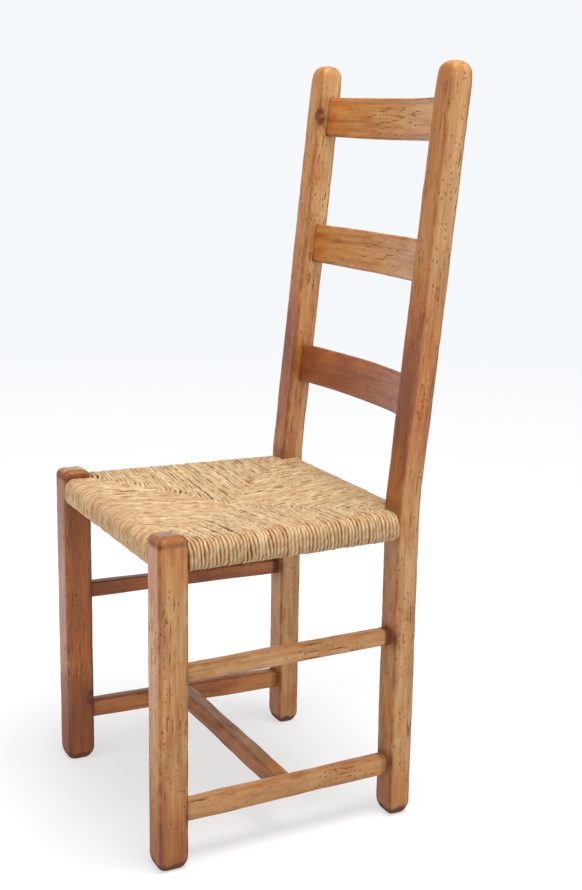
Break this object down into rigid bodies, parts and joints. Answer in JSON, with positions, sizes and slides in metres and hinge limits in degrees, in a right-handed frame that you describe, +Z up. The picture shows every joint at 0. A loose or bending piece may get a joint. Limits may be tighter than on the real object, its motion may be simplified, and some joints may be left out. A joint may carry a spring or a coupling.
{
  "type": "dining chair",
  "caption": "Ladder-back dining chair with square waxed-wood posts, bowed back slats, side and cross stretchers and a woven rush seat.",
  "frame": {"origin": "on the floor under the middle of the chair's outline", "axes": "+Z up, -Y the way the sitter faces, +X to the sitter's left"},
  "size_m": [0.4266, 0.4631, 1.075],
  "materials": {
    "waxed_wood": "waxed, worn and aged",
    "plain_wood": "unfinished",
    "rush": "twisted rush, matte",
    "rush_packing": "loose rush ends"
  },
  "bodies": {
    "root": {"front_post_left": "waxed_wood", "front_post_right": "waxed_wood", "rear_post_left": "waxed_wood", "rear_post_right": "waxed_wood", "top_slat": "waxed_wood", "middle_slat": "waxed_wood", "bottom_slat": "waxed_wood", "upper_stretcher_left": "waxed_wood", "upper_stretcher_right": "waxed_wood", "lower_stretcher_left": "waxed_wood", "lower_stretcher_right": "waxed_wood", "cross_stretcher": "waxed_wood", "front_seat_rail": "plain_wood", "back_seat_rail": "plain_wood", "left_seat_rail": "plain_wood", "right_seat_rail": "plain_wood", "front_rush": "rush", "back_rush": "rush", "left_rush": "rush", "right_rush": "rush", "front_packing": "rush_packing", "back_packing": "rush_packing", "left_packing": "rush_packing", "right_packing": "rush_packing"}
  },
  "joints": []
}
